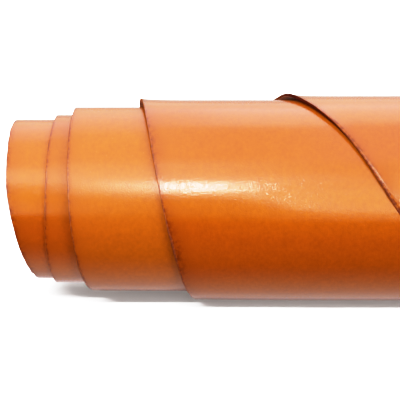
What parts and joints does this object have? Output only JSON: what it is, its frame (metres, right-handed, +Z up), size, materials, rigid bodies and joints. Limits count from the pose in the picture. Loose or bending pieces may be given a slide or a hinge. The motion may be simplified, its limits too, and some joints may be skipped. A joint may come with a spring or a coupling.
{
  "type": "rolled leather hide",
  "caption": "Trimmed side of smooth tan leather rolled into an open tube, its turns stepped back from one end, cut straight at the other, with its free end down the front.",
  "frame": {"origin": "under the middle of the roll, on the surface that it rests on", "axes": "+X along the roll, from its stepped end to its straight end; -Y towards the front, where the free end of the hide comes down; +Z up"},
  "size_m": [0.5988, 0.1262, 0.1229],
  "materials": {
    "leather": "glossy tan grain side with fine pores, darker burnished borders, matt tan flesh side, dark brown cut edges"
  },
  "bodies": {
    "root": {"hide": "leather"}
  },
  "joints": []
}
